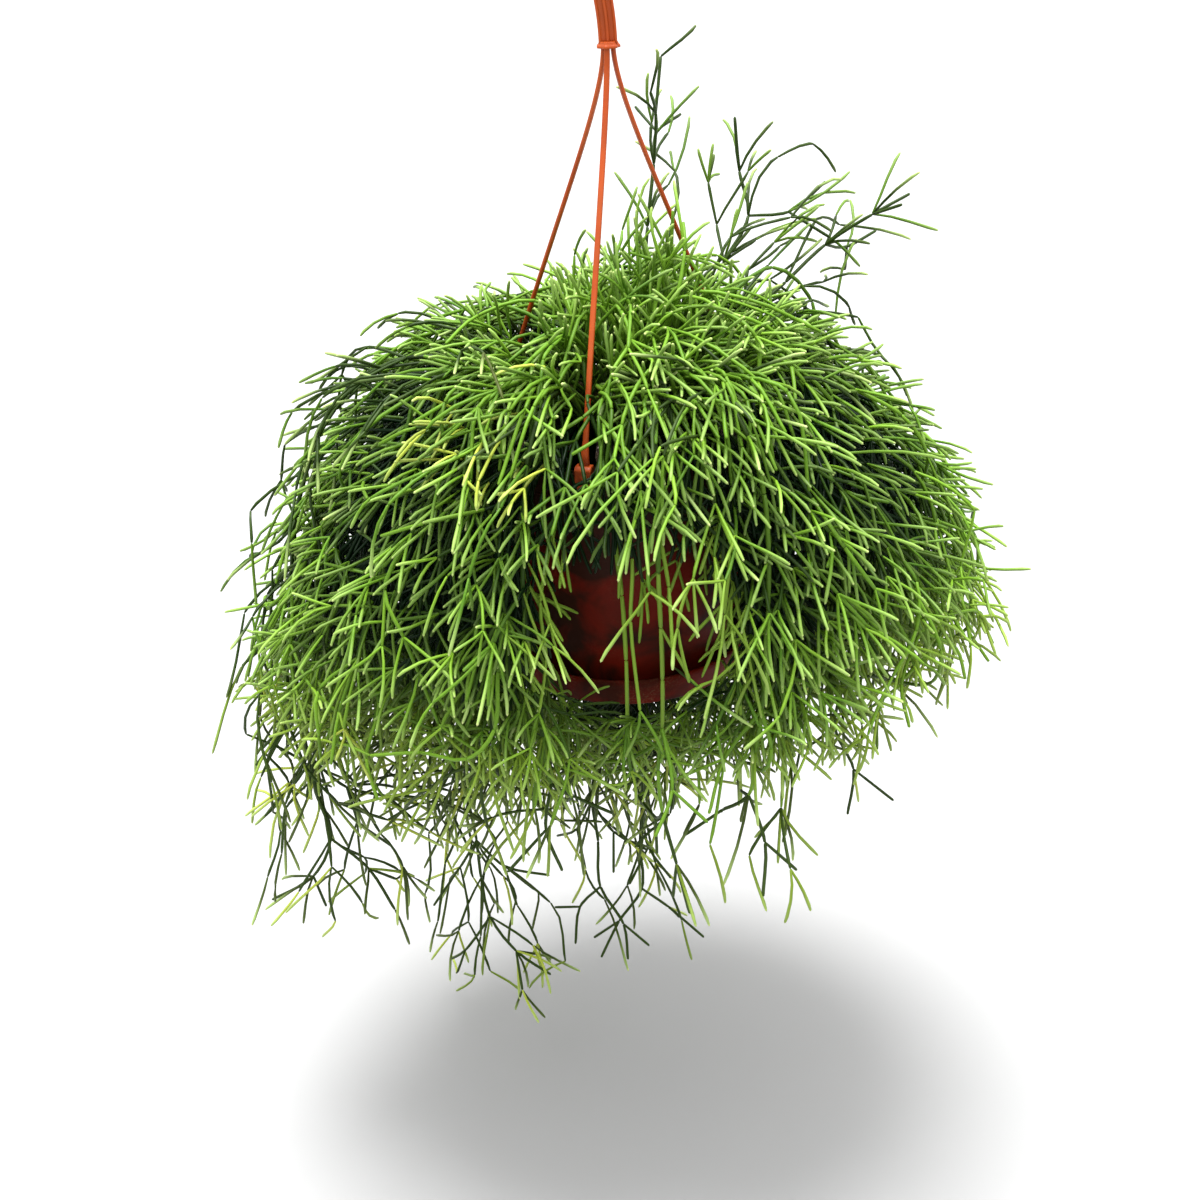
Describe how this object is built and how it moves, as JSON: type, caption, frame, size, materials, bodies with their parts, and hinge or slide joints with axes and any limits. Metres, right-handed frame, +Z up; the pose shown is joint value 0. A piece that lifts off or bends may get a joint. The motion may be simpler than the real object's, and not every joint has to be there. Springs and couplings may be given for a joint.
{
  "type": "potted rhipsalis in a hanging pot",
  "caption": "Bushy trailing rhipsalis with thin forking green stems, rooted in a round plastic hanging pot with a clip-on saucer and a three-strand hook hanger.",
  "frame": {"origin": "the inside top of the hook's bend, where the hook hangs on its rail", "axes": "+Z up, the front is -Y, and the hook's bend lies in the XZ plane with its mouth towards +X"},
  "size_m": [0.3873, 0.3567, 0.6448],
  "materials": {
    "hanger_plastic": "orange-red moulded polypropylene, satin to glossy",
    "pot_plastic": "dark terracotta moulded polypropylene, satin",
    "potting_soil": "moist peat and bark, rough",
    "stem_skin": "smooth fleshy green skin, soft gloss"
  },
  "bodies": {
    "root": {"hook": "hanger_plastic", "pot": "pot_plastic", "saucer": "pot_plastic", "soil": "potting_soil", "stem_01": "stem_skin", "stem_02": "stem_skin", "stem_03": "stem_skin", "stem_04": "stem_skin", "stem_05": "stem_skin", "stem_06": "stem_skin", "stem_07": "stem_skin", "stem_08": "stem_skin", "stem_09": "stem_skin", "stem_10": "stem_skin", "stem_11": "stem_skin", "stem_12": "stem_skin", "stem_13": "stem_skin", "stem_14": "stem_skin", "stem_15": "stem_skin", "stem_16": "stem_skin", "stem_17": "stem_skin", "stem_18": "stem_skin", "stem_19": "stem_skin", "stem_20": "stem_skin", "stem_21": "stem_skin", "stem_22": "stem_skin", "stem_23": "stem_skin", "stem_24": "stem_skin", "stem_25": "stem_skin", "stem_26": "stem_skin", "stem_27": "stem_skin", "stem_28": "stem_skin", "stem_29": "stem_skin", "stem_30": "stem_skin", "stem_31": "stem_skin", "stem_32": "stem_skin", "stem_33": "stem_skin", "stem_34": "stem_skin", "stem_35": "stem_skin", "stem_36": "stem_skin", "stem_37": "stem_skin", "stem_38": "stem_skin", "stem_39": "stem_skin", "stem_40": "stem_skin", "stem_41": "stem_skin", "stem_42": "stem_skin", "stem_43": "stem_skin", "stem_44": "stem_skin", "stem_45": "stem_skin", "stem_46": "stem_skin", "stem_47": "stem_skin", "stem_48": "stem_skin", "stem_49": "stem_skin", "stem_50": "stem_skin", "stem_51": "stem_skin", "stem_52": "stem_skin", "stem_53": "stem_skin", "strand_front": "hanger_plastic", "strand_left": "hanger_plastic", "strand_right": "hanger_plastic"}
  },
  "joints": []
}
